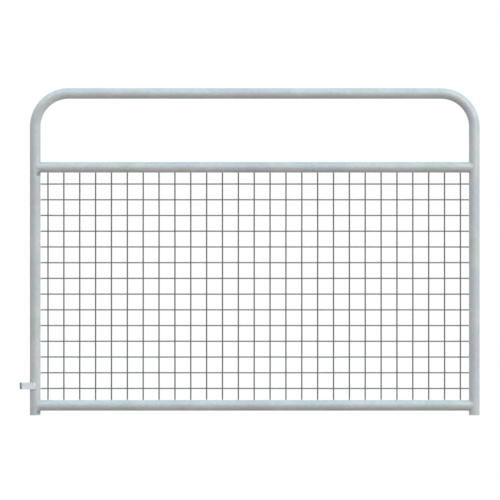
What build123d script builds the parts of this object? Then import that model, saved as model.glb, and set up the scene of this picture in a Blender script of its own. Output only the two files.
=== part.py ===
from build123d import *
import os
from math import asin, sin

# A wire-filled tube gate for livestock: one bent tube for the outer frame, two straight
# rails, a welded wire mesh between the rails, and a hinge strap low on the hinge side.
# Millimetres. +X runs from the hinge side to the latch side, +Z is up, and the gate's
# front faces -Y. The origin is on the hinge pin's axis, half way up the hinge strap.

# --- driving dimensions -----------------------------------------------------------------
gate_width = 1747.0          # outside to outside of the two uprights
gate_height = 1270.0         # foot of the uprights to the top of the top rail, 50 in
tube_diameter = 41.3         # 1 5/8 in fence tube, used for every tube of the gate
tube_wall = 1.6              # 16 gauge
bend_radius = 130.0          # centre line of the two upper corners

bottom_rail_height = 37.7    # centre line above the feet
middle_rail_height = 962.5   # centre line above the feet
cope_tip_trim = 9.2          # distance from the upright's axis to the trimmed cope tips

wire_diameter = 5.3          # 5 gauge wire
upright_wire_count = 27      # wires that run up and down
cross_wire_count = 14        # wires that run along the gate
upright_wire_pitch = 61.6
cross_wire_pitch = 61.1
mesh_shift = -2.0            # the mesh sits this far off the middle, towards the hinge
lowest_cross_wire = 103.3    # centre line above the feet

strap_width = 25.4           # 1 in flat bar
strap_thickness = 4.8        # 3/16 in
strap_height = 113.5         # middle of the strap above the feet
eye_radius = 8.5             # bore that turns on a 5/8 in hinge pin
eye_reach = 46.8             # hinge pin's axis to the upright's axis
strap_overlap = 3.0          # how far each leg runs past the upright's axis
strap_corner = 3.0           # rounding of the leg ends' corners
strap_edge = 0.6             # rounding of the bar's long edges, as rolled

rail_weld_leg = 3.0          # welds round the coped ends of the rails
strap_weld_leg = 3.0         # welds round the strap's legs
strap_weld_taper = 35.0      # slope of those welds' sides, in degrees
strap_weld_margin = 6.0      # how far a weld's foot reaches past the strap's edges
tack_length = 3.0            # tack welds at the wires' ends, measured along the wire
tack_root = 1.5              # how deep a tack weld reaches round the curve of the tube
tack_spread = 2.2            # how far a tack weld stands out from the wire at the tube
tack_lip = 0.4               # and at its other end

# --- places worked out from them --------------------------------------------------------
tube_radius = tube_diameter / 2
tube_bore_radius = tube_radius - tube_wall
wire_radius = wire_diameter / 2
hinge_upright_x = eye_reach
latch_upright_x = hinge_upright_x + gate_width - tube_diameter
middle_x = (hinge_upright_x + latch_upright_x) / 2
rail_length = latch_upright_x - hinge_upright_x - 2 * cope_tip_trim
foot_z = -strap_height
top_rail_z = foot_z + gate_height - tube_radius
middle_rail_z = foot_z + middle_rail_height
bottom_rail_z = foot_z + bottom_rail_height
strap_slope = asin((tube_radius - eye_radius) / eye_reach)
strap_contact_x = hinge_upright_x - tube_radius * sin(strap_slope)

os.makedirs("parts", exist_ok=True)


def save(piece, name):
    piece.part.label = name
    export_step(piece.part, f"parts/{name}.step")


def span_centres(middle, pitch, count):
    first = middle - pitch * (count - 1) / 2
    return [first + pitch * index for index in range(count)]


# --- outer frame: one tube, bent at both upper corners, open at the feet -----------------
with BuildPart() as outer_frame:
    with BuildLine(Plane.XZ) as frame_path:
        FilletPolyline(
            (hinge_upright_x, foot_z),
            (hinge_upright_x, top_rail_z),
            (latch_upright_x, top_rail_z),
            (latch_upright_x, foot_z),
            radius=bend_radius,
        )
    with BuildSketch(Plane((hinge_upright_x, 0, foot_z))):
        Circle(tube_radius)
        Circle(tube_bore_radius, mode=Mode.SUBTRACT)
    sweep(path=frame_path.wires()[0])
save(outer_frame, "outer_frame")

# Solid stand-ins for the tubes' outsides. They shape the ends of whatever is welded to a
# tube, so that the pieces meet face to face, and they aren't pieces of the gate.
with BuildPart() as upright_outsides:
    with BuildSketch(Plane.XY.offset(foot_z)):
        with Locations((hinge_upright_x, 0), (latch_upright_x, 0)):
            Circle(tube_radius)
    extrude(amount=gate_height - bend_radius)

with BuildPart() as rail_outsides:
    with BuildSketch(Plane.YZ.offset(hinge_upright_x + cope_tip_trim)):
        with Locations((0, middle_rail_z), (0, bottom_rail_z)):
            Circle(tube_radius)
    extrude(amount=rail_length)


# --- rails: straight tubes, coped to fit the uprights, with the cope tips trimmed --------
def add_rail(name, height):
    with BuildPart() as rail:
        with BuildSketch(Plane((hinge_upright_x + cope_tip_trim, 0, height), z_dir=(1, 0, 0))):
            Circle(tube_radius)
            Circle(tube_bore_radius, mode=Mode.SUBTRACT)
        extrude(amount=rail_length)
        add(upright_outsides.part, mode=Mode.SUBTRACT)
    save(rail, name)


add_rail("middle_rail", middle_rail_z)
add_rail("bottom_rail", bottom_rail_z)


# --- wire mesh: the upright wires stand in front, the cross wires lie behind them --------
upright_wire_places = span_centres(middle_x + mesh_shift, upright_wire_pitch, upright_wire_count)
cross_wire_places = [
    foot_z + lowest_cross_wire + cross_wire_pitch * index for index in range(cross_wire_count)
]

for number, place in enumerate(upright_wire_places, start=1):
    with BuildPart() as upright_wire:
        with BuildSketch(Plane((place, -wire_radius, bottom_rail_z))):
            Circle(wire_radius)
        extrude(amount=middle_rail_z - bottom_rail_z)
        add(rail_outsides.part, mode=Mode.SUBTRACT)
    save(upright_wire, f"mesh_upright_wire_{number:02d}")

for number, place in enumerate(cross_wire_places, start=1):
    with BuildPart() as cross_wire:
        with BuildSketch(Plane((hinge_upright_x, wire_radius, place), z_dir=(1, 0, 0))):
            Circle(wire_radius)
        extrude(amount=latch_upright_x - hinge_upright_x)
        add(upright_outsides.part, mode=Mode.SUBTRACT)
    save(cross_wire, f"mesh_cross_wire_{number:02d}")


# --- hinge strap: flat bar bent round the hinge pin, one leg on each side of the upright --
def add_belt_outline(spread, mode):
    """A belt's outline round the hinge pin and the upright, this far out from both."""
    with BuildSketch(mode=Mode.PRIVATE) as outline:
        Circle(eye_radius + spread)
        with Locations((eye_reach, 0)):
            Circle(tube_radius + spread)
        make_hull()
    add(outline.sketch, mode=mode)


with BuildPart() as hinge_strap:
    with BuildSketch(Plane.XY.offset(-strap_width / 2)):
        add_belt_outline(strap_thickness, Mode.ADD)
        add_belt_outline(0, Mode.SUBTRACT)
        with Locations((eye_reach + strap_overlap, 0)):
            Rectangle(gate_height, gate_height, align=(Align.MIN, Align.CENTER), mode=Mode.SUBTRACT)
    extrude(amount=strap_width)
    leg_corners = hinge_strap.edges().filter_by(Axis.Y).group_by(Axis.X)[-1]
    fillet(leg_corners, strap_corner)
    top_edges = hinge_strap.edges().group_by(Axis.Z)[-1]
    bottom_edges = hinge_strap.edges().group_by(Axis.Z)[0]
    fillet(top_edges + bottom_edges, strap_edge)
save(hinge_strap, "hinge_strap")


# --- welds -------------------------------------------------------------------------------
def add_rail_weld(name, upright_x, side, height):
    """The bead round a rail's coped end. side is 1 where the rail leaves towards +X, or -1."""
    weld_start = upright_x + side * (cope_tip_trim - rail_weld_leg)
    with BuildPart() as rail_weld:
        with BuildSketch(Plane((weld_start, 0, height), z_dir=(side, 0, 0))):
            Circle(tube_radius + rail_weld_leg)
        extrude(amount=tube_radius)
        with BuildSketch(Plane((upright_x, 0, height - tube_diameter))):
            Circle(tube_radius + rail_weld_leg)
        extrude(amount=2 * tube_diameter, mode=Mode.INTERSECT)
        add(upright_outsides.part, mode=Mode.SUBTRACT)
        add(rail_outsides.part, mode=Mode.SUBTRACT)
    save(rail_weld, name)


add_rail_weld("middle_rail_hinge_side_weld", hinge_upright_x, 1, middle_rail_z)
add_rail_weld("middle_rail_latch_side_weld", latch_upright_x, -1, middle_rail_z)
add_rail_weld("bottom_rail_hinge_side_weld", hinge_upright_x, 1, bottom_rail_z)
add_rail_weld("bottom_rail_latch_side_weld", latch_upright_x, -1, bottom_rail_z)


def add_strap_weld(name, side):
    """The fillet round one leg of the strap. side is -1 on the gate's front and 1 behind."""
    leg_end_x = hinge_upright_x + strap_overlap
    pad_length = leg_end_x - strap_contact_x + strap_weld_leg
    pad_start = Plane(
        (strap_contact_x + pad_length / 2, side * (tube_radius - strap_weld_leg), 0),
        x_dir=(1, 0, 0),
        z_dir=(0, side, 0),
    )
    with BuildPart() as strap_weld:
        with BuildSketch(pad_start):
            Rectangle(pad_length, strap_width + 2 * strap_weld_margin)
        extrude(amount=2 * strap_weld_leg, taper=strap_weld_taper)
        add(upright_outsides.part, mode=Mode.SUBTRACT)
        add(hinge_strap.part, mode=Mode.SUBTRACT)
    save(strap_weld, name)


add_strap_weld("hinge_strap_front_weld", -1)
add_strap_weld("hinge_strap_back_weld", 1)


def save_tack_welds(name, roots, direction, tubes):
    """A collar of weld at each wire's end. A root lies on the wire's axis inside the tube."""
    collar_height = tack_root + tack_length
    from_root = (Align.CENTER, Align.CENTER, Align.MIN)
    with BuildPart() as tack_welds:
        with Locations([Plane(root, z_dir=direction) for root in roots]):
            Cone(wire_radius + tack_spread, wire_radius + tack_lip, collar_height, align=from_root)
            Cylinder(wire_radius, collar_height, align=from_root, mode=Mode.SUBTRACT)
        add(tubes.part, mode=Mode.SUBTRACT)
    save(tack_welds, name)


root_depth = tube_radius - tack_root
top_roots = [(x, -wire_radius, middle_rail_z - root_depth) for x in upright_wire_places]
bottom_roots = [(x, -wire_radius, bottom_rail_z + root_depth) for x in upright_wire_places]
hinge_side_roots = [(hinge_upright_x + root_depth, wire_radius, z) for z in cross_wire_places]
latch_side_roots = [(latch_upright_x - root_depth, wire_radius, z) for z in cross_wire_places]
save_tack_welds("mesh_top_tack_welds", top_roots, (0, 0, -1), rail_outsides)
save_tack_welds("mesh_bottom_tack_welds", bottom_roots, (0, 0, 1), rail_outsides)
save_tack_welds("mesh_hinge_side_tack_welds", hinge_side_roots, (1, 0, 0), upright_outsides)
save_tack_welds("mesh_latch_side_tack_welds", latch_side_roots, (-1, 0, 0), upright_outsides)
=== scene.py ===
# %% [markdown]
# A livestock panel gate: one bent tube for the outer frame, two straight rails, a square
# welded wire mesh between them and a hinge strap low on one side, all in galvanised steel.
# The CAD model says where every piece is. This notebook gives each piece a surface that
# stands close viewing. The first cell loads the CAD model, and everything is in metres.

# %% Load the frame
import bpy
from math import pi, radians
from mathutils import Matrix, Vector


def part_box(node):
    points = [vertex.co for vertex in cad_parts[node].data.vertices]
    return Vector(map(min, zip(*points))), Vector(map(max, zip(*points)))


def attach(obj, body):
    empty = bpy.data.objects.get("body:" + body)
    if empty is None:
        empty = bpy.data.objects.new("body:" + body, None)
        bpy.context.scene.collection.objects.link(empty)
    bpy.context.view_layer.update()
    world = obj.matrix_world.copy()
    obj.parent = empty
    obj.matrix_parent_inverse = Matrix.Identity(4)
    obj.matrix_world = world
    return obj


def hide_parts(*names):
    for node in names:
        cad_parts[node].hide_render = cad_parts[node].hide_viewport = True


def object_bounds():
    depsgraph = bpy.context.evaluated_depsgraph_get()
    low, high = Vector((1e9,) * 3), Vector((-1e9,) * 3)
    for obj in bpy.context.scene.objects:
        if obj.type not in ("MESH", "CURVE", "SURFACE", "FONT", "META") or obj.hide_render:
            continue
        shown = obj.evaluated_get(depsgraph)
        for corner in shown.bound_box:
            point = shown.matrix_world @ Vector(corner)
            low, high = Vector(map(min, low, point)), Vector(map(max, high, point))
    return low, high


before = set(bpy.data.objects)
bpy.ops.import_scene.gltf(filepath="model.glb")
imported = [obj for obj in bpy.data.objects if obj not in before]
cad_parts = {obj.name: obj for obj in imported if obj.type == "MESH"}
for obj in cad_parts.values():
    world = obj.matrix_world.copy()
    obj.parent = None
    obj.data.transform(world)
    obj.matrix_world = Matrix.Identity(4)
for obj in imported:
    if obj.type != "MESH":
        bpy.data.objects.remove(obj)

cad_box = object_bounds()
print("CAD box", [round(v, 4) for v in (*cad_box[0], *cad_box[1])])

# %% [markdown]
# Sizes that the CAD model already holds are read from it, so that a change there carries
# over. Only what a box can't tell, such as a bend's radius, is stated here.

# %% Read the gate's sizes from the CAD model
mm = 0.001


def middle_of(node):
    low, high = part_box(node)
    return (low + high) / 2


def numbered(start):
    """The CAD nodes whose names start this way, in order."""
    return sorted(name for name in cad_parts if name.startswith(start))


frame_low, frame_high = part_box("outer_frame")
strap_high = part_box("hinge_strap")[1]
tube_radius = frame_high.y
tube_wall = 1.6 * mm
bend_radius = 130 * mm
cope_trim = 9.2 * mm
foot_z = frame_low.z
top_rail_z = frame_high.z - tube_radius
hinge_upright_x = frame_low.x + tube_radius
latch_upright_x = frame_high.x - tube_radius
middle_rail_z = middle_of("middle_rail").z
bottom_rail_z = middle_of("bottom_rail").z

upright_wires = numbered("mesh_upright_wire_")
cross_wires = numbered("mesh_cross_wire_")
first_wire, last_wire = middle_of(upright_wires[0]), middle_of(upright_wires[-1])
upright_wire_pitch = (last_wire.x - first_wire.x) / (len(upright_wires) - 1)
first_cross, last_cross = middle_of(cross_wires[0]), middle_of(cross_wires[-1])
cross_wire_pitch = (last_cross.z - first_cross.z) / (len(cross_wires) - 1)
wire_radius = first_cross.y
print("tube", round(tube_radius * 2 / mm, 1), "mm across, wire", round(wire_radius * 2 / mm, 1))
print(len(upright_wires), "upright wires,", round(upright_wire_pitch / mm, 1), "mm apart")
print(len(cross_wires), "cross wires,", round(cross_wire_pitch / mm, 1), "mm apart")

# %% [markdown]
# Shapes and finishes are both made of nodes, so one small helper adds a node to either kind
# of tree. Its settings come by name. Its inputs come as a list, in order, or as a dict by
# name, and each is a plain value, another node, or one output of another node. A tuple of
# nodes goes to an input that joins several.

# %% A helper that adds a node
def output_of(source):
    """An output as it is, or a node's first output that is in use."""
    if isinstance(source, bpy.types.NodeSocket):
        return source
    return next(socket for socket in source.outputs if socket.enabled)


def add_node(tree, kind, inputs=(), **settings):
    node = tree.nodes.new(kind)
    for setting, value in settings.items():
        setattr(node, setting, value)
    by_name = inputs if isinstance(inputs, dict) else dict(enumerate(inputs))
    for key, value in by_name.items():
        if isinstance(key, int):
            socket = node.inputs[key]
        else:
            socket = next(s for s in node.inputs if s.enabled and s.name == key)
        if socket.is_multi_input or isinstance(value, (bpy.types.Node, bpy.types.NodeSocket)):
            for source in value if socket.is_multi_input else [value]:
                tree.links.new(output_of(source), socket)
        else:
            socket.default_value = value
    return node


def linear(hex_colour):
    """The linear light of an sRGB hex colour such as #c3c9cc, which is what sockets want."""
    levels = [int(hex_colour[start : start + 2], 16) / 255 for start in (1, 3, 5)]
    return tuple(((v + 0.055) / 1.055) ** 2.4 if v > 0.04045 else v / 12.92 for v in levels) + (1,)


print("mid grey is", round(linear("#808080")[0], 3), "in linear light")

# %% [markdown]
# The camera looks straight at the gate's front with a long lens from far away, so that the
# uprights stay parallel and neither side of a tube shows more than the other. A telephoto
# view is the usual way to show a flat product without stretching its near edges.

# %% Place the camera
camera_distance = 12.0
view_margin = 1.0873
aim_right, aim_up = 1.3 * mm, 6.2 * mm
view_width = view_margin * (cad_box[1].x - cad_box[0].x)
camera_data = bpy.data.cameras.new("camera")
camera_data.sensor_width = 36
camera_data.lens = camera_data.sensor_width * camera_distance / view_width
camera = bpy.data.objects.new("camera", camera_data)
gate_middle = (cad_box[0] + cad_box[1]) / 2
camera.location = (gate_middle.x + aim_right, -camera_distance, gate_middle.z + aim_up)
camera.rotation_euler = (radians(90), 0, 0)
bpy.context.scene.collection.objects.link(camera)
bpy.context.scene.camera = camera
bpy.context.scene.view_settings.view_transform = "Standard"
print("lens", round(camera_data.lens), "mm, view", round(view_width, 3), "m wide")

# %% [markdown]
# Metal has hardly any colour of its own: what it shows is the room around it. The world is
# therefore painted as a studio with a bright ceiling, a lit right side, a dim left side and
# a darker floor, which gives every tube its light top and shaded underside. The camera
# itself sees only plain white. A soft key lamp from the upper right and a weaker fill lamp
# from the upper left lighten the faces that look at them and leave the tubes' edges dark.

# %% Paint the studio and set the lamps
world = bpy.data.worlds.new("studio")
world.use_nodes = True
bpy.context.scene.world = world
studio = world.node_tree
studio.nodes.clear()
studio_strength = 2.32
direction = add_node(studio, "ShaderNodeTexCoord").outputs["Generated"]
compass = add_node(studio, "ShaderNodeSeparateXYZ", [direction])
up = add_node(studio, "ShaderNodeMapRange", [compass.outputs["Z"], -1, 1])
height_paint = add_node(studio, "ShaderNodeValToRGB", [up])
height_paint.color_ramp.elements[0].color = linear("#8a8784")
height_paint.color_ramp.elements[1].color = linear("#a4c8d5")
height_paint.color_ramp.elements.new(0.5).color = linear("#c1c1c1")
height_paint.color_ramp.elements.new(0.75).color = linear("#b5b9bb")
# The lit side stands a little behind the gate, so that it catches the tubes' far edges.
towards_lit_side = (0.9, 0.44, 0)
side = add_node(
    studio, "ShaderNodeVectorMath", [direction, towards_lit_side], operation="DOT_PRODUCT"
)
right = add_node(studio, "ShaderNodeMapRange", [side, -1, 1])
side_paint = add_node(studio, "ShaderNodeValToRGB", [right])
side_paint.color_ramp.elements[0].color = linear("#b9b2b5")
side_paint.color_ramp.elements[1].color = linear("#faffff")
side_paint.color_ramp.elements.new(0.28).color = linear("#cccbcb")
# The ceiling is one even sheet, so the walls' difference between the sides fades towards it.
wall_share = add_node(studio, "ShaderNodeMapRange", [up, 0.55, 0.85, 1, 0])
room = add_node(
    studio,
    "ShaderNodeMix",
    {"Factor": wall_share, "A": height_paint, "B": side_paint},
    data_type="RGBA",
    blend_type="MULTIPLY",
)
paint = add_node(studio, "ShaderNodeBackground", {"Color": room, "Strength": studio_strength})
white = add_node(studio, "ShaderNodeBackground", {"Color": (1, 1, 1, 1), "Strength": 1})
seen = add_node(studio, "ShaderNodeLightPath").outputs["Is Camera Ray"]
both = add_node(studio, "ShaderNodeMixShader", [seen, paint, white])
add_node(studio, "ShaderNodeOutputWorld", {"Surface": both})

lamps = [
    ("key_lamp", Vector((4.4, -4.5, 3.7)), 4.5, 130),
    ("fill_lamp", Vector((-3.4, -4.5, 4.2)), 4.0, 40),
]
for name, offset, across, watts in lamps:
    lamp_data = bpy.data.lights.new(name, "AREA")
    lamp_data.shape = "DISK"
    lamp_data.size = across
    lamp_data.energy = watts
    lamp = bpy.data.objects.new(name, lamp_data)
    lamp.location = gate_middle + offset
    lamp.rotation_euler = (-offset).to_track_quat("-Z", "Y").to_euler()
    bpy.context.scene.collection.objects.link(lamp)
    print(name, round(offset.length, 2), "m from the gate,", watts, "W")

# %% [markdown]
# The floor is a light table, a sheet of opal acrylic lit from below. Its glow is set just
# under white and the room's light on it makes up the rest, so that it joins the white behind
# it without an edge. Brighter than white would eat into every thin wire seen against it.

# %% Lay the floor
floor_half = 9.0
floor_mesh = bpy.data.meshes.new("floor")
corners = [(-1, -1), (1, -1), (1, 1), (-1, 1)]
floor_mesh.from_pydata(
    [(gate_middle.x + x * floor_half, y * floor_half, foot_z) for x, y in corners],
    [],
    [(0, 1, 2, 3)],
)
floor = bpy.data.objects.new("floor", floor_mesh)
bpy.context.scene.collection.objects.link(floor)
# Left out of bounced and reflected light, where the studio's darker floor does its work.
floor.visible_diffuse = False
floor.visible_glossy = False
opal = bpy.data.materials.new("opal_acrylic_lit_from_below")
opal.use_nodes = True
opal_shader = opal.node_tree.nodes["Principled BSDF"]
opal_shader.inputs["Base Color"].default_value = linear("#4a4a4a")
opal_shader.inputs["Roughness"].default_value = 0.9
opal_shader.inputs["Specular IOR Level"].default_value = 0.0
opal_shader.inputs["Emission Color"].default_value = (1, 1, 1, 1)
opal_shader.inputs["Emission Strength"].default_value = 0.93
floor_mesh.materials.append(opal)
print("floor at", round(foot_z, 4))

# %% [markdown]
# Every finish here is zinc on steel, but each was made differently, and that is what tells
# the pieces apart. Each material is a metal whose colour, roughness and height are varied
# by procedural patterns. The patterns on tubes and wires are laid in the piece's own terms,
# round it and along it, so that they follow a bend as they would on the real tube. The
# sweeps further down store those two values, and this cell gives a finish its start.

# %% Start a finish
def new_finish(name, metallic):
    """A material, its tree and its shader. Dull zinc is part metal and part pale zinc salts."""
    material = bpy.data.materials.new(name)
    material.use_nodes = True
    tree = material.node_tree
    shader = tree.nodes["Principled BSDF"]
    shader.inputs["Metallic"].default_value = metallic
    return material, tree, shader


def along_and_round(tree):
    """The place on a swept piece, as x and y round it and z along it, and its x and y alone."""
    around = add_node(tree, "ShaderNodeAttribute", attribute_name="around")
    profile = add_node(tree, "ShaderNodeSeparateXYZ", [around.outputs["Vector"]])
    along = add_node(tree, "ShaderNodeAttribute", attribute_name="along").outputs["Fac"]
    place = [profile.outputs["X"], profile.outputs["Y"], along]
    return add_node(tree, "ShaderNodeCombineXYZ", place), profile


def finish_surface(tree, shader, colour, roughness, height, depth):
    """Wires a finish's three patterns to its shader. Depth is the height's range in metres."""
    tree.links.new(output_of(colour), shader.inputs["Base Color"])
    tree.links.new(output_of(roughness), shader.inputs["Roughness"])
    bump = add_node(tree, "ShaderNodeBump", {"Strength": 1.0, "Distance": depth, "Height": height})
    tree.links.new(bump.outputs[0], shader.inputs["Normal"])


print("finishes start as metal")

# %% [markdown]
# The tubes are pre-galvanised: the steel strip ran through molten zinc, was rolled smooth,
# then formed into a tube and seam-welded. It is satin rather than shiny. The zinc froze in
# crystals about 10 mm across, the spangle, which are only just visible after rolling, and
# the rolls drew them out along the tube. A clear chromate film tints it in large faint
# patches of green, lavender and blue. The seam is a narrow polished line down one side.

# %% Pre-galvanised tube
tube_finish, tree, shader = new_finish("pregalvanised_tube", 0.5)
place, profile = along_and_round(tree)
spangle_size, film_patch, line_gap = 10 * mm, 150 * mm, 1.5 * mm
wander_size = 14 * mm

# The spangle: crystals 10 mm across, 1.6 times as long along the tube, each its own grey.
stretched = add_node(
    tree, "ShaderNodeVectorMath", {0: place, 1: (1, 1, 0.62)}, operation="MULTIPLY"
)
wander = add_node(tree, "ShaderNodeTexNoise", {"Vector": stretched, "Scale": 1 / wander_size})
warped = add_node(
    tree,
    "ShaderNodeVectorMath",
    {0: wander.outputs["Color"], 1: (0.006, 0.006, 0.006), 2: stretched},
    operation="MULTIPLY_ADD",
)
spangle = add_node(tree, "ShaderNodeTexVoronoi", {"Vector": warped, "Scale": 1 / spangle_size})
crystal = add_node(tree, "ShaderNodeSeparateColor", [spangle.outputs["Color"]])
grey = add_node(
    tree,
    "ShaderNodeMix",
    {"Factor": crystal, "A": linear("#c4c4c4"), "B": linear("#cbcbcb")},
    data_type="RGBA",
)

# The chromate film: patches some 240 mm long that lean to one of three tints.
patches = add_node(
    tree, "ShaderNodeTexNoise", {"Vector": stretched, "Scale": 1 / film_patch, "Detail": 1}
)
tint = add_node(tree, "ShaderNodeValToRGB", [patches.outputs["Fac"]])
tint.color_ramp.elements[0].position = 0.36
tint.color_ramp.elements[0].color = linear("#ebf7ee")
tint.color_ramp.elements[1].position = 0.64
tint.color_ramp.elements[1].color = linear("#f1edf7")
tint.color_ramp.elements.new(0.46).color = linear("#ffffff")
tint.color_ramp.elements.new(0.55).color = linear("#ecf4f9")
filmed = add_node(
    tree,
    "ShaderNodeMix",
    {"Factor": 0.65, "A": grey, "B": tint},
    data_type="RGBA",
    blend_type="MULTIPLY",
)

# Forming marks: fine lines 1.5 mm apart, which the squeezed z makes some 400 mm long.
lines_place = add_node(
    tree, "ShaderNodeVectorMath", {0: place, 1: (1, 1, 0.004)}, operation="MULTIPLY"
)
lines = add_node(
    tree, "ShaderNodeTexNoise", {"Vector": lines_place, "Scale": 1 / line_gap, "Detail": 3}
)
marked = add_node(tree, "ShaderNodeMapRange", [lines.outputs["Fac"], 0.3, 0.7, 0.94, 1.04])

# The seam: a line 2.5 mm wide at the back of the tube, where the bead was scarfed off.
from_seam = add_node(tree, "ShaderNodeMath", [profile.outputs["X"]], operation="ABSOLUTE")
near_seam = add_node(tree, "ShaderNodeMapRange", [from_seam, 1.0 * mm, 1.5 * mm, 1, 0])
seam_side = add_node(tree, "ShaderNodeMath", [profile.outputs["Y"], 0], operation="GREATER_THAN")
seam = add_node(tree, "ShaderNodeMath", [near_seam, seam_side], operation="MULTIPLY")

shaded = add_node(
    tree, "ShaderNodeMix", {"Factor": 1.0, "A": filmed, "B": marked}, data_type="RGBA",
    blend_type="MULTIPLY",
)

# Painted shadow: a dark patch on the hinge upright just under each rail, where its shadow falls.
smoke_half_width, smoke_half_height = 8 * mm, 9 * mm
smoke_off_axis, smoke_below_rail = 14.5 * mm, 4 * mm
smoke_x = hinge_upright_x + smoke_off_axis
in_frame = add_node(tree, "ShaderNodeTexCoord").outputs["Object"]
on_gate = add_node(tree, "ShaderNodeSeparateXYZ", [in_frame])
across = add_node(tree, "ShaderNodeMath", [on_gate.outputs["X"], smoke_x], operation="SUBTRACT")
across_size = add_node(
    tree, "ShaderNodeMath", [across, 1 / smoke_half_width], operation="MULTIPLY"
)
across_far = add_node(tree, "ShaderNodeMath", [across_size], operation="ABSOLUTE")
smoke = None
for rail_z in (middle_rail_z, bottom_rail_z):
    smoke_z = rail_z - tube_radius - smoke_below_rail
    down = add_node(tree, "ShaderNodeMath", [on_gate.outputs["Z"], smoke_z], operation="SUBTRACT")
    down_size = add_node(
        tree, "ShaderNodeMath", [down, 1 / smoke_half_height], operation="MULTIPLY"
    )
    down_far = add_node(tree, "ShaderNodeMath", [down_size], operation="ABSOLUTE")
    far = add_node(tree, "ShaderNodeMath", [across_far, down_far], operation="MAXIMUM")
    ragged = add_node(
        tree, "ShaderNodeMath", [wander.outputs["Fac"], 0.5, far], operation="MULTIPLY_ADD"
    )
    patch = add_node(tree, "ShaderNodeMapRange", [ragged, 0.9, 1.5, 1, 0])
    smoke = add_node(tree, "ShaderNodeMath", [patch, smoke or 0.0], operation="ADD")
# The painted shadow's dark grey is mixed over the tube's colour.
sooted = add_node(
    tree, "ShaderNodeMix", {"Factor": smoke, "A": shaded, "B": linear("#919493")}, data_type="RGBA"
)
coloured = add_node(
    tree, "ShaderNodeMix", {"Factor": seam, "A": sooted, "B": linear("#d6d7d7")}, data_type="RGBA"
)
crystal_rough = add_node(
    tree, "ShaderNodeMapRange", [crystal.outputs["Green"], 0, 1, 0.56, 0.61]
)
rough = add_node(tree, "ShaderNodeMath", [seam, -0.1, crystal_rough], operation="MULTIPLY_ADD")
height = add_node(tree, "ShaderNodeMath", [lines.outputs["Fac"], spangle.outputs["Distance"]])
finish_surface(tree, shader, coloured, rough, height, 0.02 * mm)
print(tube_finish.name, len(tree.nodes), "nodes")

# %% [markdown]
# The mesh was hot-dipped after its wires were drawn and welded together, and so thin a coat
# alloyed with the steel right through. That leaves a dull, darker grey with a fine frosted
# grain, soft lengthwise drawing marks and little shine. The upright wires get a darker copy
# of this finish and the cross wires a lighter one, as painted shade and painted light.

# %% Galvanised wire
grain_size, mark_gap, cloud_size = 0.9 * mm, 0.8 * mm, 45 * mm


def make_wire_finish(name, dark, light):
    finish, tree, shader = new_finish(name, 0.6)
    place, _ = along_and_round(tree)
    grain = add_node(
        tree, "ShaderNodeTexNoise", {"Vector": place, "Scale": 1 / grain_size, "Detail": 4}
    )
    stretched = add_node(
        tree, "ShaderNodeVectorMath", {0: place, 1: (1, 1, 0.03)}, operation="MULTIPLY"
    )
    draw_marks = add_node(
        tree, "ShaderNodeTexNoise", {"Vector": stretched, "Scale": 1 / mark_gap}
    )
    cloud = add_node(
        tree, "ShaderNodeTexNoise", {"Vector": place, "Scale": 1 / cloud_size, "Detail": 2}
    )
    grey = add_node(
        tree,
        "ShaderNodeMix",
        {"Factor": cloud.outputs["Fac"], "A": linear(dark), "B": linear(light)},
        data_type="RGBA",
    )
    mottled = add_node(tree, "ShaderNodeMapRange", [grain.outputs["Fac"], 0.3, 0.7, 0.82, 1.14])
    coloured = add_node(
        tree, "ShaderNodeMix", {"Factor": 1.0, "A": grey, "B": mottled}, data_type="RGBA",
        blend_type="MULTIPLY",
    )
    rough = add_node(tree, "ShaderNodeMapRange", [grain.outputs["Fac"], 0.3, 0.7, 0.48, 0.62])
    height = add_node(tree, "ShaderNodeMath", [draw_marks.outputs["Fac"], grain.outputs["Fac"]])
    finish_surface(tree, shader, coloured, rough, height, 0.07 * mm)
    print(name, len(tree.nodes), "nodes")
    return finish


# The upright wires' darker grey is painted shade, the cross wires' lighter grey painted light.
upright_wire_finish = make_wire_finish("galvanised_wire_dark_coil", "#676563", "#7d7b79")
cross_wire_finish = make_wire_finish("galvanised_wire_light_coil", "#84827f", "#9b9996")

# %% [markdown]
# The strap is hot-rolled flat bar, bent cold and dipped. The rolling mill's scale was
# pickled off and left a slightly pebbled face, and the zinc is brighter than the wire's.
# It is carried over from the CAD model, so its pattern reads object coordinates.

# %% Galvanised flat bar
bar_finish, tree, shader = new_finish("galvanised_flat_bar", 0.3)
pebble_size, bar_spangle_size = 2.2 * mm, 6 * mm
place = add_node(tree, "ShaderNodeTexCoord").outputs["Object"]
pebbles = add_node(
    tree, "ShaderNodeTexNoise", {"Vector": place, "Scale": 1 / pebble_size, "Detail": 4}
)
spangle = add_node(tree, "ShaderNodeTexVoronoi", {"Vector": place, "Scale": 1 / bar_spangle_size})
crystal = add_node(tree, "ShaderNodeSeparateColor", [spangle.outputs["Color"]])
grey = add_node(
    tree,
    "ShaderNodeMix",
    {"Factor": crystal, "A": linear("#dde3e6"), "B": linear("#e8eef1")},
    data_type="RGBA",
)
worn = add_node(
    tree, "ShaderNodeMapRange", [pebbles.outputs["Fac"], 0.35, 0.65, 0.92, 1.05]
)
coloured = add_node(
    tree, "ShaderNodeMix", {"Factor": 1.0, "A": grey, "B": worn}, data_type="RGBA",
    blend_type="MULTIPLY",
)
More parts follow.
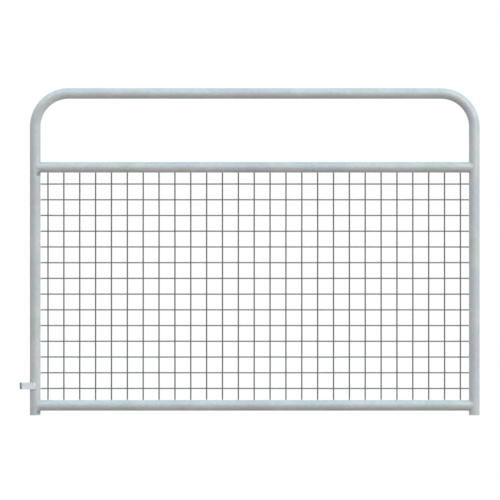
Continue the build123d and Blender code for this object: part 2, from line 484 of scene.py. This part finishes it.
# Painted shade: the nose of the eye turns away from the light, so it is painted darker,
# from the nose back to the hinge pin's axis at X = 0.
on_bar = add_node(tree, "ShaderNodeSeparateXYZ", [place]).outputs["X"]
ragged = add_node(
    tree, "ShaderNodeMath", [pebbles.outputs["Fac"], 4 * mm, on_bar], operation="MULTIPLY_ADD"
)
bend = add_node(tree, "ShaderNodeMapRange", [ragged, -7.0 * mm, 0.5 * mm, 1, 0])
# The nose's painted shade is a dark grey mixed over the bar's colour.
weathered = add_node(
    tree, "ShaderNodeMix", {"Factor": bend, "A": coloured, "B": linear("#7b7e7f")}, data_type="RGBA"
)
rough = add_node(tree, "ShaderNodeMapRange", [pebbles.outputs["Fac"], 0.3, 0.7, 0.45, 0.58])
finish_surface(tree, shader, weathered, rough, pebbles.outputs["Fac"], 0.12 * mm)
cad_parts["hinge_strap"].data.materials[0] = bar_finish
print(bar_finish.name, len(tree.nodes), "nodes, on the hinge strap")

# %% [markdown]
# Welding burns the zinc off, so the welds were painted afterwards with zinc-rich cold
# galvanising spray. It dries to a matt, slightly warm light grey that evens out the weld's
# colours but leaves its ripples standing.

# %% Zinc-sprayed weld
weld_finish, tree, shader = new_finish("zinc_sprayed_weld", 0.35)
speckle_size, weld_cloud_size = 0.7 * mm, 9 * mm
place = add_node(tree, "ShaderNodeTexCoord").outputs["Object"]
speckle = add_node(
    tree, "ShaderNodeTexNoise", {"Vector": place, "Scale": 1 / speckle_size, "Detail": 4}
)
cloud = add_node(
    tree, "ShaderNodeTexNoise", {"Vector": place, "Scale": 1 / weld_cloud_size, "Detail": 2}
)
grey = add_node(
    tree,
    "ShaderNodeMix",
    {"Factor": cloud.outputs["Fac"], "A": linear("#bcbdbc"), "B": linear("#d4d5d4")},
    data_type="RGBA",
)
mottled = add_node(tree, "ShaderNodeMapRange", [speckle.outputs["Fac"], 0.3, 0.7, 0.86, 1.06])
coloured = add_node(
    tree, "ShaderNodeMix", {"Factor": 1.0, "A": grey, "B": mottled}, data_type="RGBA",
    blend_type="MULTIPLY",
)
rough = add_node(tree, "ShaderNodeMapRange", [speckle.outputs["Fac"], 0.3, 0.7, 0.55, 0.72])
finish_surface(tree, shader, coloured, rough, speckle.outputs["Fac"], 0.08 * mm)
print(weld_finish.name, len(tree.nodes), "nodes")

# %% [markdown]
# Nearly every piece of this gate is a round section that follows a path, so its shapes are
# made by Geometry Nodes: a tree draws the path from named sizes and sweeps a circle along
# it. Running a tree on an empty object and keeping the outcome gives a plain mesh, which
# no longer depends on the tree. These helpers start, end and run such a tree.

# %% Start, end and run a shape tree
def new_shape_tree(name, **inputs):
    """A geometry tree with named inputs, and their outputs inside it."""
    tree = bpy.data.node_groups.new(name, "GeometryNodeTree")
    for label, kind in inputs.items():
        tree.interface.new_socket(label, in_out="INPUT", socket_type="NodeSocket" + kind)
    tree.interface.new_socket("shape", in_out="OUTPUT", socket_type="NodeSocketGeometry")
    return tree, tree.nodes.new("NodeGroupInput").outputs


def end_shape_tree(tree, mesh, material):
    """Shades the mesh smooth up to sharp edges, and gives it its material."""
    angle = add_node(tree, "GeometryNodeInputMeshEdgeAngle").outputs["Unsigned Angle"]
    whole = add_node(tree, "GeometryNodeRealizeInstances", [mesh])
    sharp = add_node(tree, "FunctionNodeCompare", {"A": angle, "B": radians(50)})
    soft = add_node(tree, "GeometryNodeSetShadeSmooth", {"Geometry": whole, "Shade Smooth": True})
    edged = add_node(
        tree,
        "GeometryNodeSetShadeSmooth",
        {"Geometry": soft, "Selection": sharp, "Shade Smooth": False},
        domain="EDGE",
    )
    dressed = add_node(
        tree, "GeometryNodeSetMaterial", {"Geometry": edged, "Material": material}
    )
    add_node(tree, "NodeGroupOutput", [dressed])


def make_piece(name, tree, slot, stands_for, **sizes):
    """Runs a tree with these sizes and keeps its outcome as a plain mesh in the gate's frame."""
    maker = bpy.data.objects.new("maker", bpy.data.meshes.new("maker"))
    bpy.context.scene.collection.objects.link(maker)
    modifier = maker.modifiers.new("shape", "NODES")
    modifier.node_group = tree
    for socket in tree.interface.items_tree:
        if socket.in_out == "INPUT":
            modifier[socket.identifier] = sizes[socket.name]
    graph = bpy.context.evaluated_depsgraph_get()
    mesh = bpy.data.meshes.new_from_object(
        maker.evaluated_get(graph), preserve_all_data_layers=True, depsgraph=graph
    )
    bpy.data.objects.remove(maker)
    mesh.name = name
    piece = bpy.data.objects.new(name, mesh)
    bpy.context.scene.collection.objects.link(piece)
    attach(piece, "root")
    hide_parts(*stands_for)
    print(name, len(mesh.vertices), "points,", len(mesh.polygons), "faces")
    return piece


print("shape trees can be run")

# %% [markdown]
# The sweep is shared by all of them. Before it joins ring and path it stores two values for
# the finishes: "along", the distance down the path, and "around", the place on the ring.
# The mesh inherits both, so a pattern can follow the tube wherever the path takes it.

# %% Sweep a ring along a path
def sweep(tree, path, radius, sides, scale=1.0, closed=True, head_start=0.0):
    length = add_node(tree, "GeometryNodeSplineParameter").outputs["Length"]
    along = add_node(tree, "ShaderNodeMath", [length, head_start], operation="ADD")
    marked_path = add_node(
        tree,
        "GeometryNodeStoreNamedAttribute",
        {"Geometry": path, "Name": "along", "Value": along},
    )
    ring = add_node(
        tree, "GeometryNodeCurvePrimitiveCircle", {"Resolution": sides, "Radius": radius}
    )
    marked_ring = add_node(
        tree,
        "GeometryNodeStoreNamedAttribute",
        {"Geometry": ring, "Name": "around", "Value": add_node(tree, "GeometryNodeInputPosition")},
        data_type="FLOAT_VECTOR",
    )
    return add_node(
        tree,
        "GeometryNodeCurveToMesh",
        {"Curve": marked_path, "Profile Curve": marked_ring, "Scale": scale, "Fill Caps": closed},
    )


def give_wall(tree, skin, thickness):
    """Turns an open skin into a closed wall: the skin, its inner twin and the rims between."""
    inner = add_node(
        tree,
        "GeometryNodeExtrudeMesh",
        {"Mesh": skin, "Offset Scale": -thickness, "Individual": False},
    )
    inwards = add_node(tree, "GeometryNodeFlipFaces", [inner.outputs["Mesh"]])
    both = add_node(tree, "GeometryNodeJoinGeometry", [(inwards, skin)])
    return add_node(tree, "GeometryNodeMergeByDistance", {"Geometry": both, "Distance": 0.01 * mm})


print("sweeps store along and around")

# %% [markdown]
# The outer frame is one length of tube, bent through two quarter turns in a rotary bender,
# so its corners are true arcs and the tube runs unbroken from foot to foot. The path is
# four points with the two upper corners rounded, and the feet stay open, as sawn.

# %% Bend the outer frame
tree, size = new_shape_tree(
    "bent_tube", start="Vector", first_corner="Vector", second_corner="Vector", end="Vector",
    bend_radius="Float", radius="Float",
)
bend_steps = 28
tube_sides = 64
four_points = add_node(
    tree,
    "GeometryNodeCurvePrimitiveQuadrilateral",
    {
        "Point 1": size["start"],
        "Point 2": size["first_corner"],
        "Point 3": size["second_corner"],
        "Point 4": size["end"],
    },
    mode="POINTS",
)
open_path = add_node(
    tree, "GeometryNodeSetSplineCyclic", {"Geometry": four_points, "Cyclic": False}
)
bent_path = add_node(
    tree,
    "GeometryNodeFilletCurve",
    {"Curve": open_path, "Count": bend_steps, "Radius": size["bend_radius"]},
    mode="POLY",
)
skin = sweep(tree, bent_path, size["radius"], tube_sides, closed=False)
end_shape_tree(tree, give_wall(tree, skin, tube_wall), tube_finish)
make_piece(
    "frame_tube",
    tree,
    "galvanised_tube",
    ["outer_frame"],
    start=(hinge_upright_x, 0, foot_z),
    first_corner=(hinge_upright_x, 0, top_rail_z),
    second_corner=(latch_upright_x, 0, top_rail_z),
    end=(latch_upright_x, 0, foot_z),
    bend_radius=bend_radius,
    radius=tube_radius,
)

# %% [markdown]
# Whatever meets a tube end-on is coped, cut to a hollow that fits the tube's round side:
# the rails on the uprights, and the wires on rails and uprights. A saddle cut needs no
# boolean here. A point that lies y off the middle plane meets a tube of radius R at
# sqrt(R^2 - y^2) from its axis, so a point that would go deeper is held at that distance.

# %% Cope the ends of a shape
def cope(tree, shape, axis, low, high, trim=0.0):
    """Holds a shape between two tubes whose axes stand at low and high on "X" or "Z"."""
    here = add_node(tree, "GeometryNodeInputPosition")
    point = add_node(tree, "ShaderNodeSeparateXYZ", [here])
    aside = add_node(tree, "ShaderNodeMath", [point.outputs["Y"], 2], operation="POWER")
    square = add_node(tree, "ShaderNodeMath", [tube_radius**2, aside], operation="SUBTRACT")
    depth = add_node(tree, "ShaderNodeMath", [square], operation="SQRT")
    kept_off = add_node(tree, "ShaderNodeMath", [depth, trim], operation="MAXIMUM")
    lowest = add_node(tree, "ShaderNodeMath", [low, kept_off], operation="ADD")
    highest = add_node(tree, "ShaderNodeMath", [high, kept_off], operation="SUBTRACT")
    raised = add_node(
        tree, "ShaderNodeMath", [point.outputs[axis], lowest], operation="MAXIMUM"
    )
    held = add_node(tree, "ShaderNodeMath", [raised, highest], operation="MINIMUM")
    place = {"X": point.outputs["X"], "Y": point.outputs["Y"], "Z": point.outputs["Z"]}
    place[axis] = held
    new_place = add_node(tree, "ShaderNodeCombineXYZ", place)
    return add_node(tree, "GeometryNodeSetPosition", {"Geometry": shape, "Position": new_place})


print("coping holds a shape", round(tube_radius / mm, 2), "mm from a tube's axis at most")

# %% [markdown]
# Both rails are straight lengths of the same tube, coped at each end. The thin points that
# a cope leaves at the tube's sides are trimmed off square, because they would only burn
# away in the weld. One tree makes both rails.

# %% Cut the two rails
tree, size = new_shape_tree("coped_rail", start="Vector", end="Vector", radius="Float")
line = add_node(tree, "GeometryNodeCurvePrimitiveLine", [size["start"], size["end"]])
skin = sweep(tree, line, size["radius"], tube_sides, closed=False)
walled = give_wall(tree, skin, tube_wall)
coped = cope(tree, walled, "X", hinge_upright_x, latch_upright_x, cope_trim)
end_shape_tree(tree, coped, tube_finish)
for name, height in (("middle_rail", middle_rail_z), ("bottom_rail", bottom_rail_z)):
    make_piece(
        name + "_tube",
        tree,
        "galvanised_tube",
        [name],
        start=(hinge_upright_x, 0, height),
        end=(latch_upright_x, 0, height),
        radius=tube_radius,
    )

# %% [markdown]
# The mesh is two rows of straight wires. Drawn wire comes off a coil through a set of
# straightening rolls and is never quite straight again, so each wire wanders by a few
# tenths of a millimetre. One tree repeats a wire along a row, gives each its own wander
# and copes the ends, and it serves both rows.

# %% Lay the two rows of wires
wire_wander, wander_length, path_step = 1.2 * mm, 220 * mm, 16 * mm
# From wire to wire the noise and the finish move on by this much, so no two are alike.
seed_step, pattern_step = 3.7, 2.9


def make_wires(name, nodes, finish, axis, start, step, run, low, high):
    tree, size = new_shape_tree(
        name, start="Vector", step="Vector", count="Int", run="Vector", radius="Float",
        wander="Float", seed="Float",
    )
    row = add_node(tree, "GeometryNodeMeshLine", [size["count"], 0.0, size["start"], size["step"]])
    numbered_row = add_node(
        tree,
        "GeometryNodeStoreNamedAttribute",
        {"Geometry": row, "Name": "wire", "Value": add_node(tree, "GeometryNodeInputIndex")},
    )
    line = add_node(tree, "GeometryNodeCurvePrimitiveLine", [(0, 0, 0), size["run"]])
    fine_line = add_node(
        tree, "GeometryNodeResampleCurve", {"Curve": line, "Length": path_step}, mode="LENGTH"
    )
    placed = add_node(
        tree, "GeometryNodeInstanceOnPoints", {"Points": numbered_row, "Instance": fine_line}
    )
    lines = add_node(tree, "GeometryNodeRealizeInstances", [placed])
    wire = add_node(tree, "GeometryNodeInputNamedAttribute", {"Name": "wire"}).outputs["Attribute"]
    own = add_node(
        tree, "ShaderNodeMath", [wire, seed_step, size["seed"]], operation="MULTIPLY_ADD"
    )
    bends = add_node(
        tree, "ShaderNodeTexNoise", {"W": own, "Scale": 1 / wander_length}, noise_dimensions="4D"
    )
    centred = add_node(
        tree, "ShaderNodeVectorMath", [bends.outputs["Color"], (0.5, 0.5, 0.5)],
        operation="SUBTRACT",
    )
    shift = add_node(
        tree, "ShaderNodeVectorMath", {"Vector": centred, "Scale": size["wander"]},
        operation="SCALE",
    )
    wandering = add_node(tree, "GeometryNodeSetPosition", {"Geometry": lines, "Offset": shift})
    head_start = add_node(tree, "ShaderNodeMath", [wire, pattern_step], operation="MULTIPLY")
    wires = sweep(tree, wandering, size["radius"], 12, head_start=head_start)
    end_shape_tree(tree, cope(tree, wires, axis, low, high), finish)
    piece = make_piece(
        name, tree, "galvanised_wire", nodes, start=start, step=step, count=len(nodes),
        run=run, radius=wire_radius, wander=wire_wander, seed=4.0,
    )
    # Lines this thin only speckle what the tubes reflect, so bounced light passes them by.
    piece.visible_diffuse = False
    piece.visible_glossy = False


run_in = tube_radius - 1.2 * mm
make_wires(
    "upright_wires",
    upright_wires,
    upright_wire_finish,
    "Z",
    start=(first_wire.x, first_wire.y, bottom_rail_z + run_in),
    step=(upright_wire_pitch, 0, 0),
    run=(0, 0, middle_rail_z - bottom_rail_z - 2 * run_in),
    low=bottom_rail_z,
    high=middle_rail_z,
)
make_wires(
    "cross_wires",
    cross_wires,
    cross_wire_finish,
    "X",
    start=(hinge_upright_x + run_in, first_cross.y, first_cross.z),
    step=(0, 0, cross_wire_pitch),
    run=(latch_upright_x - hinge_upright_x - 2 * run_in, 0, 0),
    low=hinge_upright_x,
    high=latch_upright_x,
)

# %% [markdown]
# Where two wires cross, a spot welder pressed them together until they fused, and the dip
# that followed filled the corners round the spot with zinc. That leaves a small flattened
# bead at each crossing, 378 in all. Low-poly balls are enough, each turned and sized at
# random.

# %% Fuse the crossings
tree, size = new_shape_tree(
    "crossing_welds", middle="Vector", width="Float", height="Float", across="Int", up="Int",
    bead_size="Vector", seed="Int",
)
grid = add_node(
    tree, "GeometryNodeMeshGrid", [size["width"], size["height"], size["across"], size["up"]]
)
upright_grid = add_node(
    tree,
    "GeometryNodeTransform",
    {"Geometry": grid.outputs["Mesh"], "Translation": size["middle"], "Rotation": (pi / 2, 0, 0)},
)
ball = add_node(tree, "GeometryNodeMeshIcoSphere", [1.0, 2]).outputs["Mesh"]
turn = add_node(
    tree,
    "FunctionNodeRandomValue",
    {"Min": (0, 0, 0), "Max": (0, pi, 0), "Seed": size["seed"]},
    data_type="FLOAT_VECTOR",
)
growth = add_node(
    tree, "FunctionNodeRandomValue", {"Min": 0.86, "Max": 1.14, "Seed": size["seed"]}
)
bead = add_node(
    tree, "ShaderNodeVectorMath", {"Vector": size["bead_size"], "Scale": growth}, operation="SCALE"
)
beads = add_node(
    tree,
    "GeometryNodeInstanceOnPoints",
    {"Points": upright_grid, "Instance": ball, "Rotation": turn, "Scale": bead},
)
made_real = add_node(tree, "GeometryNodeRealizeInstances", [beads])
here = add_node(tree, "GeometryNodeInputPosition")
marked = add_node(
    tree,
    "GeometryNodeStoreNamedAttribute",
    {"Geometry": made_real, "Name": "around", "Value": here},
    data_type="FLOAT_VECTOR",
)
point_height = add_node(tree, "ShaderNodeSeparateXYZ", [here]).outputs["Z"]
marked = add_node(
    tree,
    "GeometryNodeStoreNamedAttribute",
    {"Geometry": marked, "Name": "along", "Value": point_height},
)
end_shape_tree(tree, marked, cross_wire_finish)
make_piece(
    "crossing_welds",
    tree,
    "galvanised_weld",
    [],
    middle=((first_wire.x + last_wire.x) / 2, 0, (first_cross.z + last_cross.z) / 2),
    width=last_wire.x - first_wire.x,
    height=last_cross.z - first_cross.z,
    across=len(upright_wires),
    up=len(cross_wires),
    bead_size=(3.3 * mm, 2.0 * mm, 3.3 * mm),
    seed=11,
)

# %% [markdown]
# Each wire's end is held to its tube by one short burst of the welding torch. The blob sits
# on the tube's round side, spreads at its foot and closes in on the wire. It is swept out
# of the tube with a shrinking ring, its foot is curved to the tube, and noise makes every
# blob a little different.

# %% Tack the wires' ends
tack_length, tack_spread, tack_lip = 3.4 * mm, 2.0 * mm, 0.3 * mm
lump_depth, lump_width = 0.45 * mm, 3.2 * mm


def make_tacks(name, start, step, count, outwards, seed):
    tree, size = new_shape_tree(
        name, start="Vector", step="Vector", count="Int", outwards="Vector", length="Float",
        spread="Float", seed="Int",
    )
    row = add_node(tree, "GeometryNodeMeshLine", [size["count"], 0.0, size["start"], size["step"]])
    numbered_row = add_node(
        tree,
        "GeometryNodeStoreNamedAttribute",
        {"Geometry": row, "Name": "tack", "Value": add_node(tree, "GeometryNodeInputIndex")},
    )
    reach = add_node(
        tree, "ShaderNodeVectorMath", {"Vector": size["outwards"], "Scale": size["length"]},
        operation="SCALE",
    )
    line = add_node(tree, "GeometryNodeCurvePrimitiveLine", [(0, 0, 0), reach])
    fine_line = add_node(tree, "GeometryNodeResampleCurve", {"Curve": line, "Count": 7})
    placed = add_node(
        tree, "GeometryNodeInstanceOnPoints", {"Points": numbered_row, "Instance": fine_line}
    )
    lines = add_node(tree, "GeometryNodeRealizeInstances", [placed])
    tack = add_node(tree, "GeometryNodeInputNamedAttribute", {"Name": "tack"}).outputs["Attribute"]
    amount = add_node(
        tree,
        "FunctionNodeRandomValue",
        {"Min": 0.75, "Max": 1.2, "ID": tack, "Seed": size["seed"]},
    )
    # The ring shrinks with the square of the way out, from the spread foot to the wire.
    way_out = add_node(tree, "GeometryNodeSplineParameter").outputs["Factor"]
    left = add_node(tree, "ShaderNodeMath", [1, way_out], operation="SUBTRACT")
    flare = add_node(tree, "ShaderNodeMath", [left, 2], operation="POWER")
    spread = add_node(tree, "ShaderNodeMath", [size["spread"], amount], operation="MULTIPLY")
    ring = add_node(
        tree, "ShaderNodeMath", [flare, spread, wire_radius + tack_lip], operation="MULTIPLY_ADD"
    )
    blobs = sweep(tree, lines, 1.0, 14, scale=ring)
    # The foot curves back round the tube by R - sqrt(R^2 - y^2), and the tip hardly at all.
    point = add_node(
        tree, "ShaderNodeSeparateXYZ", [add_node(tree, "GeometryNodeInputPosition")]
    )
    aside = add_node(tree, "ShaderNodeMath", [point.outputs["Y"], 2], operation="POWER")
    square = add_node(tree, "ShaderNodeMath", [tube_radius**2, aside], operation="SUBTRACT")
    depth = add_node(tree, "ShaderNodeMath", [square], operation="SQRT")
    fall = add_node(tree, "ShaderNodeMath", [depth, tube_radius], operation="SUBTRACT")
    fall_vector = add_node(
        tree, "ShaderNodeVectorMath", {"Vector": size["outwards"], "Scale": fall},
        operation="SCALE",
    )
    seated = add_node(tree, "GeometryNodeSetPosition", {"Geometry": blobs, "Offset": fall_vector})
    lumps = add_node(tree, "ShaderNodeTexNoise", {"Scale": 1 / lump_width, "Detail": 1})
    lump_size = add_node(
        tree, "ShaderNodeMapRange", [lumps.outputs["Fac"], 0.25, 0.75, -lump_depth, lump_depth]
    )
    lump = add_node(
        tree,
        "ShaderNodeVectorMath",
        {"Vector": add_node(tree, "GeometryNodeInputNormal"), "Scale": lump_size},
        operation="SCALE",
    )
    lumpy = add_node(tree, "GeometryNodeSetPosition", {"Geometry": seated, "Offset": lump})
    end_shape_tree(tree, lumpy, weld_finish)
    make_piece(
        name + "_blobs", tree, "galvanised_weld", [name], start=start, step=step, count=count,
        outwards=outwards, length=tack_length, spread=tack_spread, seed=seed,
    )


seat = tube_radius - 0.4 * mm
across_step, up_step = (upright_wire_pitch, 0, 0), (0, 0, cross_wire_pitch)
across_count, up_count = len(upright_wires), len(cross_wires)
make_tacks(
    "mesh_top_tack_welds", (first_wire.x, first_wire.y, middle_rail_z - seat),
    across_step, across_count, (0, 0, -1), 21,
)
make_tacks(
    "mesh_bottom_tack_welds", (first_wire.x, first_wire.y, bottom_rail_z + seat),
    across_step, across_count, (0, 0, 1), 22,
)
make_tacks(
    "mesh_hinge_side_tack_welds", (hinge_upright_x + seat, first_cross.y, first_cross.z),
    up_step, up_count, (1, 0, 0), 23,
)
make_tacks(
    "mesh_latch_side_tack_welds", (latch_upright_x - seat, first_cross.y, first_cross.z),
    up_step, up_count, (-1, 0, 0), 24,
)

# %% [markdown]
# A weld bead is a row of small overlapping puddles, each frozen before the next, about 4 mm
# apart. Sweeping a ring whose radius rises and falls with each puddle, and letting noise
# push the spacing and the size about, gives the ripples of a bead laid by hand.

# %% Sweep a weld bead
ripple_pitch, swell_length = 4.0 * mm, 7 * mm


def bead(tree, path, radius, seed, shape=1.0):
    steps_per_ripple = 12
    fine = add_node(
        tree,
        "GeometryNodeResampleCurve",
        {"Curve": path, "Length": ripple_pitch / steps_per_ripple},
        mode="LENGTH",
    )
    length = add_node(tree, "GeometryNodeSplineParameter").outputs["Length"]
    uneven = add_node(
        tree, "ShaderNodeTexNoise", {"W": seed, "Scale": 1 / swell_length}, noise_dimensions="4D"
    )
    # The wave climbs for one ripple's half and falls for the other, so a ripple counts as 2.
    ripples = add_node(tree, "ShaderNodeMath", [length, 2 / ripple_pitch], operation="MULTIPLY")
    pushed = add_node(
        tree, "ShaderNodeMath", [uneven.outputs["Fac"], 2.2, ripples], operation="MULTIPLY_ADD"
    )
    wave = add_node(tree, "ShaderNodeMath", [pushed, 1.0], operation="PINGPONG")
    crest = add_node(tree, "ShaderNodeMapRange", [wave, 0, 1, 0.95, 1.03])
    swell = add_node(tree, "ShaderNodeMapRange", [uneven.outputs["Fac"], 0.3, 0.7, 0.9, 1.08])
    scale = add_node(tree, "ShaderNodeMath", [crest, swell], operation="MULTIPLY")
    whole = add_node(tree, "ShaderNodeMath", [scale, shape], operation="MULTIPLY")
    return sweep(tree, fine, radius, 12, scale=whole)


print("ripples", round(ripple_pitch / mm, 1), "mm apart")

# %% [markdown]
# Each end of each rail is welded all the way round. The bead follows the seam of the cope:
# at an angle a round the rail the seam stands R |sin a| from the upright's axis, and no
# nearer than the trimmed tips. The two rules meet smoothly, as a hand would steer them, and
# the bead's middle runs a little below the rail's surface, so that it stands low.

# %% Weld the rails to the uprights
rail_bead_radius = 3.4 * mm
bead_sink = 1.9 * mm
tip_sink = 1.3 * mm
steering = 4 * mm
tree, size = new_shape_tree(
    "rail_weld", upright_x="Float", side="Float", rail_z="Float", radius="Float", seed="Float"
)
circle = add_node(tree, "GeometryNodeCurvePrimitiveCircle", {"Resolution": 240, "Radius": 1.0})
turned = add_node(tree, "GeometryNodeSplineParameter").outputs["Factor"]
angle = add_node(tree, "ShaderNodeMath", [turned, 2 * pi], operation="MULTIPLY")
sine = add_node(tree, "ShaderNodeMath", [angle], operation="SINE")
cosine = add_node(tree, "ShaderNodeMath", [angle], operation="COSINE")
seam_radius = tube_radius - bead_sink
seam_y = add_node(tree, "ShaderNodeMath", [cosine, seam_radius], operation="MULTIPLY")
seam_z = add_node(
    tree, "ShaderNodeMath", [sine, seam_radius, size["rail_z"]], operation="MULTIPLY_ADD"
)
rise = add_node(
    tree,
    "ShaderNodeMath",
    [add_node(tree, "ShaderNodeMath", [sine], operation="ABSOLUTE"), tube_radius],
    operation="MULTIPLY",
)
stand_off = add_node(
    tree, "ShaderNodeMath", [rise, cope_trim - tip_sink, steering], operation="SMOOTH_MAX"
)
seam_x = add_node(
    tree, "ShaderNodeMath", [stand_off, size["side"], size["upright_x"]],
    operation="MULTIPLY_ADD",
)
seam_place = add_node(tree, "ShaderNodeCombineXYZ", [seam_x, seam_y, seam_z])
seam = add_node(tree, "GeometryNodeSetPosition", {"Geometry": circle, "Position": seam_place})
end_shape_tree(tree, bead(tree, seam, size["radius"], size["seed"]), weld_finish)
rail_ends = [
    ("middle_rail_hinge_side_weld", hinge_upright_x, 1, middle_rail_z),
    ("middle_rail_latch_side_weld", latch_upright_x, -1, middle_rail_z),
    ("bottom_rail_hinge_side_weld", hinge_upright_x, 1, bottom_rail_z),
    ("bottom_rail_latch_side_weld", latch_upright_x, -1, bottom_rail_z),
]
for number, (name, upright_x, side, rail_z) in enumerate(rail_ends):
    make_piece(
        name + "_bead", tree, "galvanised_weld", [name], upright_x=upright_x, side=float(side),
        rail_z=rail_z, radius=rail_bead_radius, seed=31.0 + number,
    )

# %% [markdown]
# The strap's legs lie on the upright's sides, and each is welded along its upper edge, round
# its end and back along its lower edge, one bead in the shape of a C. The path is drawn
# flat and then laid on the tube, and the ring shrinks at both ends so that the bead starts
# and stops rounded.

# %% Weld the strap to the upright
strap_bead_radius = 2.7 * mm
bead_corner = 3.5 * mm
bead_lift = 0.1 * mm
side_run = 10.5 * mm
end_gap, edge_gap = 0.8 * mm, 0.7 * mm
round_share = 0.055
tree, size = new_shape_tree(
    "strap_weld", side="Float", start_x="Float", end_x="Float", half_height="Float",
    radius="Float", seed="Float",
)
low_height = add_node(tree, "ShaderNodeMath", [size["half_height"], -1], operation="MULTIPLY")
heights = [size["half_height"], size["half_height"], low_height, low_height]
ends = [size["start_x"], size["end_x"], size["end_x"], size["start_x"]]
c_points = {
    f"Point {number}": add_node(tree, "ShaderNodeCombineXYZ", {"X": x, "Z": z})
    for number, (x, z) in enumerate(zip(ends, heights), start=1)
}
flat_c = add_node(
    tree, "GeometryNodeCurvePrimitiveQuadrilateral", c_points, mode="POINTS"
)
open_c = add_node(tree, "GeometryNodeSetSplineCyclic", {"Geometry": flat_c, "Cyclic": False})
rounded_c = add_node(
    tree, "GeometryNodeFilletCurve", {"Curve": open_c, "Count": 8, "Radius": bead_corner},
    mode="POLY",
)
fine_c = add_node(
    tree, "GeometryNodeResampleCurve", {"Curve": rounded_c, "Length": 0.5 * mm}, mode="LENGTH"
)
point = add_node(tree, "ShaderNodeSeparateXYZ", [add_node(tree, "GeometryNodeInputPosition")])
off_axis = add_node(
    tree, "ShaderNodeMath", [point.outputs["X"], hinge_upright_x], operation="SUBTRACT"
)
off_square = add_node(tree, "ShaderNodeMath", [off_axis, 2], operation="POWER")
square = add_node(tree, "ShaderNodeMath", [tube_radius**2, off_square], operation="SUBTRACT")
on_tube = add_node(tree, "ShaderNodeMath", [square], operation="SQRT")
lifted = add_node(tree, "ShaderNodeMath", [on_tube, bead_lift], operation="ADD")
laid_y = add_node(tree, "ShaderNodeMath", [lifted, size["side"]], operation="MULTIPLY")
laid_place = add_node(
    tree, "ShaderNodeCombineXYZ", [point.outputs["X"], laid_y, point.outputs["Z"]]
)
laid_c = add_node(tree, "GeometryNodeSetPosition", {"Geometry": fine_c, "Position": laid_place})
# At a distance d from its end, a rounded end has the radius sqrt(1 - (1 - d/r)^2). The 1.02
# in place of the first 1 keeps the ring at the very end wide enough for a clean cap.
way = add_node(tree, "GeometryNodeSplineParameter").outputs["Factor"]
nearer = add_node(tree, "ShaderNodeMath", [way, 0.5], operation="PINGPONG")
to_end = add_node(tree, "ShaderNodeMapRange", [nearer, 0, round_share, 1, 0])
to_end_square = add_node(tree, "ShaderNodeMath", [to_end, 2], operation="POWER")
round_end = add_node(tree, "ShaderNodeMath", [1.02, to_end_square], operation="SUBTRACT")
end_shape = add_node(tree, "ShaderNodeMath", [round_end], operation="SQRT")
strap_bead = bead(tree, laid_c, size["radius"], size["seed"], shape=end_shape)
end_shape_tree(tree, strap_bead, weld_finish)
for number, (name, side) in enumerate((("front", -1), ("back", 1))):
    make_piece(
        f"hinge_strap_{name}_weld_bead",
        tree,
        "galvanised_weld",
        [f"hinge_strap_{name}_weld"],
        side=float(side),
        start_x=strap_high.x - side_run,
        end_x=strap_high.x + end_gap,
        half_height=strap_high.z + edge_gap,
        radius=strap_bead_radius,
        seed=41.0 + number,
    )
